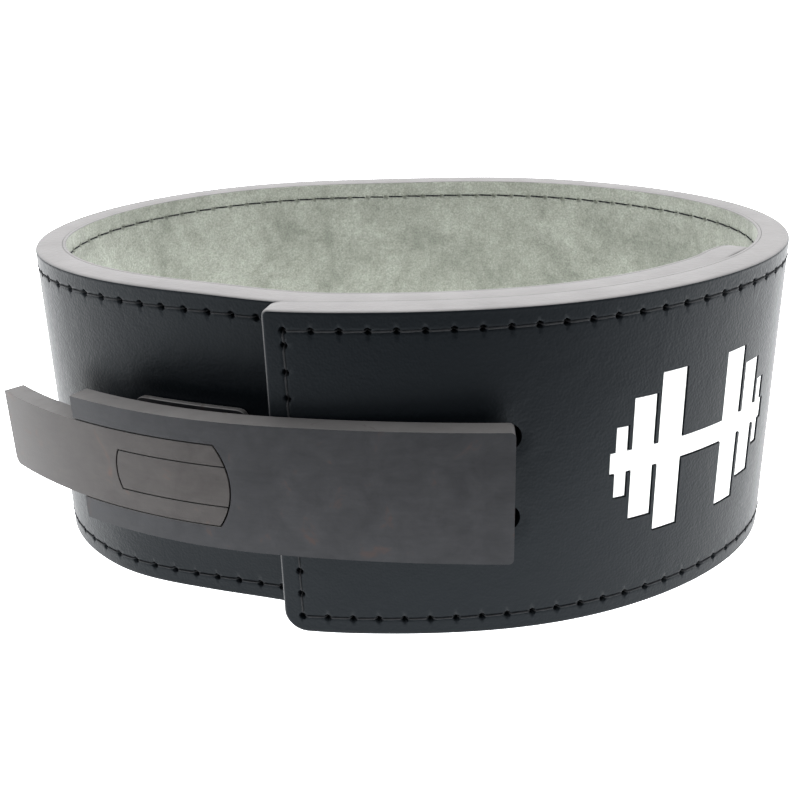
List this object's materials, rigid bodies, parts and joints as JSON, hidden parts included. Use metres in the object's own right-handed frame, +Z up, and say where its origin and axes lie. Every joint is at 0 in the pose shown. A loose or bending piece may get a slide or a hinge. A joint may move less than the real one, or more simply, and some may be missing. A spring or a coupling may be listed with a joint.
{
  "type": "weightlifting belt",
  "caption": "Thick leather weightlifting belt standing as an oval ring, suede lined, stitched along its edges and closed in front by a steel lever buckle whose hooks sit in the strap.",
  "frame": {"origin": "on the surface that the belt stands on, below the middle of its bounding box", "axes": "+X along the belt's long side, away from the lever's handle; the buckle faces -Y; +Z up across the strap's width"},
  "size_m": [0.2502, 0.1866, 0.1],
  "materials": {
    "strap_leather": "black smooth top-grain leather, satin, fine grain",
    "edge_paint": "grey burnished edge paint on the cut edges",
    "suede": "grey-green suede, matt, short nap",
    "thread": "black waxed thread",
    "emblem_foil": "matt white transfer",
    "plate_steel": "dark grey satin coated steel",
    "lever_steel": "grey satin coated steel, slightly worn"
  },
  "bodies": {
    "root": {"strap": "strap_leather", "suede_lining": "suede", "emblem": "emblem_foil", "base_plate": "plate_steel", "pivot_block": "lever_steel", "lever": "lever_steel", "hook_plate": "plate_steel", "pivot_pin": "plate_steel", "arm_pin": "plate_steel", "base_screw_1": "plate_steel", "base_screw_2": "plate_steel"}
  },
  "joints": []
}
